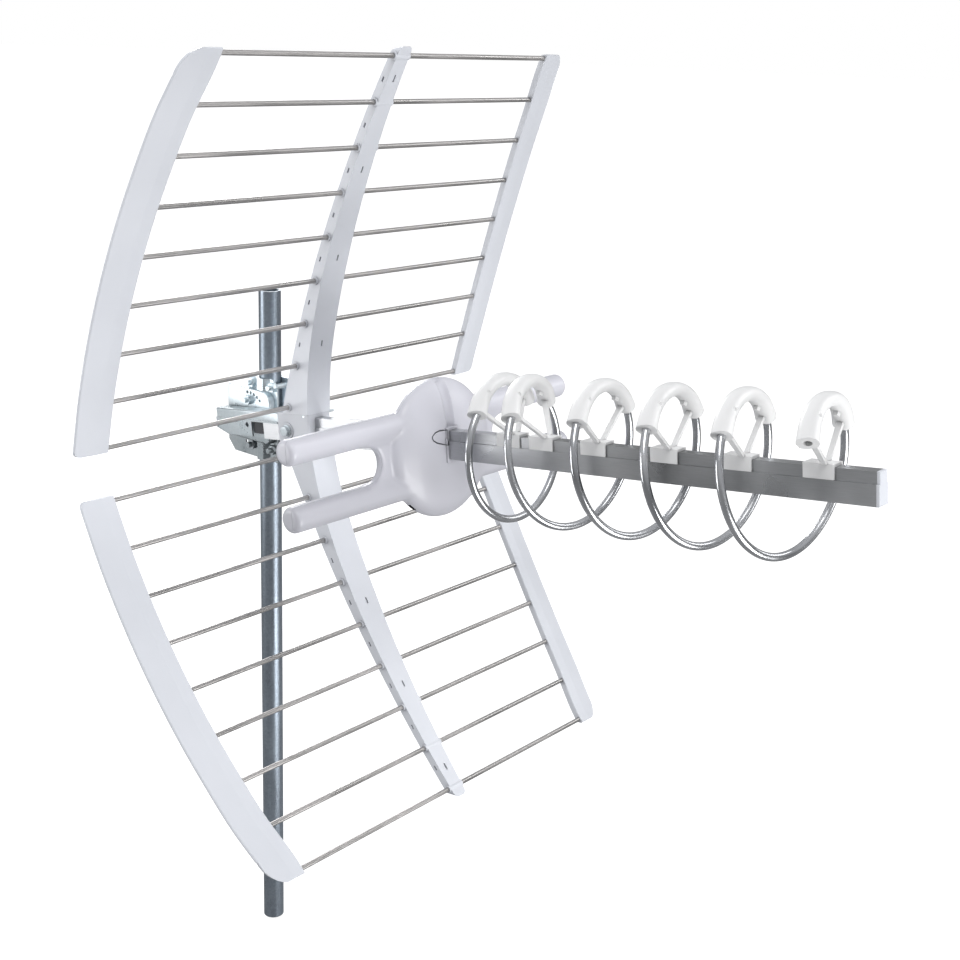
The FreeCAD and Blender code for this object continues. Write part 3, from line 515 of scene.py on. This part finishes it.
# Surface of a field on a grid, then moved onto the exact form
def field_mesh(low, high):
    axes = [np.arange(a, b, GRID) for a, b in zip(low, high)]
    grid = np.stack(np.meshgrid(*axes, indexing="ij"), -1)
    value = housing_field(grid.reshape(-1, 3)).reshape(grid.shape[:3])
    inside = value < 0.0
    shape = [n - 1 for n in value.shape]
    total = np.zeros(shape + [3])
    count = np.zeros(shape)
    corners = [(i, j, k) for i in (0, 1) for j in (0, 1) for k in (0, 1)]

    def part(data, c):
        return data[c[0]:c[0] + shape[0], c[1]:c[1] + shape[1], c[2]:c[2] + shape[2]]

    for a in corners:
        for axis in range(3):
            if a[axis] == 1:
                continue
            b = tuple(v + (1 if n == axis else 0) for n, v in enumerate(a))
            va, vb = part(value, a), part(value, b)
            cross = part(inside, a) != part(inside, b)
            t = np.where(cross, va / np.where(cross, va - vb, 1.0), 0.0)
            for n in range(3):
                total[..., n] += np.where(cross, a[n] + (t if n == axis else 0.0), 0.0)
            count += cross
    used = count > 0
    index = np.full(shape, -1)
    index[used] = np.arange(int(used.sum()))
    cell = np.argwhere(used)
    points = (cell + total[used] / count[used][:, None]) * GRID + np.array(low)
    faces = []
    for axis in range(3):
        b, c = [n for n in range(3) if n != axis]
        first = np.moveaxis(inside, axis, 0)[:-1]
        second = np.moveaxis(inside, axis, 0)[1:]
        for flip, hit in ((axis == 1, first & ~second), (axis != 1, ~first & second)):
            where = np.argwhere(hit)
            edge = np.zeros((len(where), 3), dtype=int)
            edge[:, axis] = where[:, 0]
            edge[:, b] = where[:, 1]
            edge[:, c] = where[:, 2]
            ring = []
            for db, dc in ((0, 0), (-1, 0), (-1, -1), (0, -1)):
                at = edge.copy()
                at[:, b] += db
                at[:, c] += dc
                ring.append(index[at[:, 0], at[:, 1], at[:, 2]])
            quads = np.stack(ring, -1)
            faces.append(quads[:, ::-1] if flip else quads)
    for _ in range(4):
        slope = field_slope(points)
        size = np.maximum((slope ** 2).sum(1), 0.05)
        points = points - (0.8 * housing_field(points) / size)[:, None] * slope
    return points, np.concatenate(faces)


def row_point(x, y, z):
    c, s = math.cos(HEAD_PITCH), math.sin(HEAD_PITCH)
    x -= MAST_X
    return Vector((x * c - z * s, y - MAST_Y, x * s + z * c)) / 1000.0


def new_piece(name, points, faces):
    mesh = bpy.data.meshes.new(name)
    mesh.from_pydata(points, [], faces)
    mesh.update()
    obj = bpy.data.objects.new(name, mesh)
    bpy.context.scene.collection.objects.link(obj)
    return obj


# Straight bar of a given outline along x, or a thin-walled one with an inner outline
def bar(outline, x0, x1, inner=None):
    n = len(outline)
    rings = [[(x, y, z) for y, z in row] for row in (outline, inner or outline) for x in (x0, x1)]
    points = [p for ring in (rings if inner else rings[:2]) for p in ring]
    faces = []
    for k in range(n):
        j = (k + 1) % n
        faces.append((k, j, n + j, n + k))
        if inner:
            faces.append((2 * n + j, 2 * n + k, 3 * n + k, 3 * n + j))
            faces.append((j, k, 2 * n + k, 2 * n + j))
            faces.append((n + k, n + j, 3 * n + j, 3 * n + k))
    if not inner:
        faces += [tuple(range(n))[::-1], tuple(range(n, 2 * n))]
    obj = new_piece("tool", points, faces)
    b = bmesh.new()
    b.from_mesh(obj.data)
    bmesh.ops.recalc_face_normals(b, faces=b.faces)
    b.to_mesh(obj.data)
    b.free()
    return obj


def boom_outline(grow):
    w, r, ledge, top = (size + grow for size in (BOOM_HALF, RIB_HALF, BOOM_LEDGE, BOOM_TOP))
    return [(-w, -top), (w, -top), (w, ledge), (r, ledge), (r, top), (-r, top), (-r, ledge), (-w, ledge)]


def grown(outline, gap):
    cy = sum(p[0] for p in outline) / len(outline)
    cz = sum(p[1] for p in outline) / len(outline)
    out = []
    for y, z in outline:
        away = math.hypot(y - cy, z - cz)
        out.append((y + (y - cy) / away * gap, z + (z - cz) / away * gap))
    return out


def carve(obj, tool, operation):
    step = obj.modifiers.new("step", "BOOLEAN")
    step.operation = operation
    step.solver = "EXACT"
    step.object = tool
    graph = bpy.context.evaluated_depsgraph_get()
    mesh = bpy.data.meshes.new_from_object(obj.evaluated_get(graph))
    obj.modifiers.clear()
    obj.data = mesh
    bpy.data.objects.remove(tool)


# One shell: the part of the form on one side of the seam, closed there, with its outer edge eased
def half_shell(name, whole, front, node, materials):
    b = bmesh.new()
    b.from_mesh(whole.data)
    everything = b.verts[:] + b.edges[:] + b.faces[:]
    cut = bmesh.ops.bisect_plane(b, geom=everything, plane_co=(HOUSE_X, 0, 0), plane_no=(1, 0, 0),
                                 clear_inner=front, clear_outer=not front)
    rim = [e for e in cut["geom_cut"] if isinstance(e, bmesh.types.BMEdge)]
    bmesh.ops.triangle_fill(b, use_beauty=True, use_dissolve=False, edges=rim)
    bmesh.ops.recalc_face_normals(b, faces=b.faces)
    ease = HOUSE_X + (SEAM if front else -SEAM)
    bmesh.ops.bisect_plane(b, geom=b.verts[:] + b.edges[:] + b.faces[:], plane_co=(ease, 0, 0), plane_no=(1, 0, 0))
    seam = [v for v in b.verts if abs(v.co.x - HOUSE_X) < 1e-4]
    at = np.array([v.co for v in seam])
    slope = field_slope(at)
    level = housing_field(at)
    for v, g, f in zip(seam, slope, level):
        if abs(f) < SKIN:
            v.co -= Vector(g).normalized() * SEAM
    for v in b.verts:
        v.co = row_point(*v.co)
    for face in b.faces:
        face.smooth = True
    mesh = bpy.data.meshes.new(name)
    b.to_mesh(mesh)
    b.free()
    mesh.set_sharp_from_angle(angle=SHARP)
    obj = bpy.data.objects.new(name, mesh)
    bpy.context.scene.collection.objects.link(obj)
    for material in materials:
        obj.data.materials.append(material)
    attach(obj, "head")
    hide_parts(node)


def make_housing(material, inner):
    points, faces = field_mesh(GRID_LOW, GRID_HIGH)
    whole = new_piece("housing", points.tolist(), faces.tolist())
    carve(whole, bar(boom_outline(COLLAR), COLLAR_START, COLLAR_END), "UNION")
    carve(whole, bar(boom_outline(BOOM_GAP), CUT_REAR, CUT_FRONT), "DIFFERENCE")
    carve(whole, bar(grown(LATCH, LATCH_GAP), LATCH_FLOOR, LATCH_TOP, LATCH), "DIFFERENCE")
    rim_y = math.sin(SLOT_TURN) * HOUSE_R
    rim_z = HOUSE_Z - math.cos(SLOT_TURN) * HOUSE_R
    slot = bar([(rim_y + y, rim_z + z) for y, z in SLOT], HOUSE_X - SLOT_HALF, HOUSE_X + SLOT_HALF)
    for obj in (whole, slot):
        obj.data.materials.clear()
        obj.data.materials.append(material)
        obj.data.materials.append(inner)
    # Painted shade: the slot's walls take the black plastic so that the slot reads dark
    for face in slot.data.polygons:
        face.material_index = 1
    carve(whole, slot, "DIFFERENCE")
    half_shell("dipole_front_cover", whole, True, "dipole_front_shell", (material, inner))
    half_shell("dipole_rear_cover", whole, False, "dipole_rear_shell", (material, inner))
    bpy.data.objects.remove(whole)


bpy.context.scene.view_settings.view_transform = "Standard"
make_camera()
make_lights()
make_stage()
MATERIALS = make_materials()
dress_nodes(MATERIALS)
make_housing(MATERIALS["housing_plastic"], MATERIALS["black_plastic"])
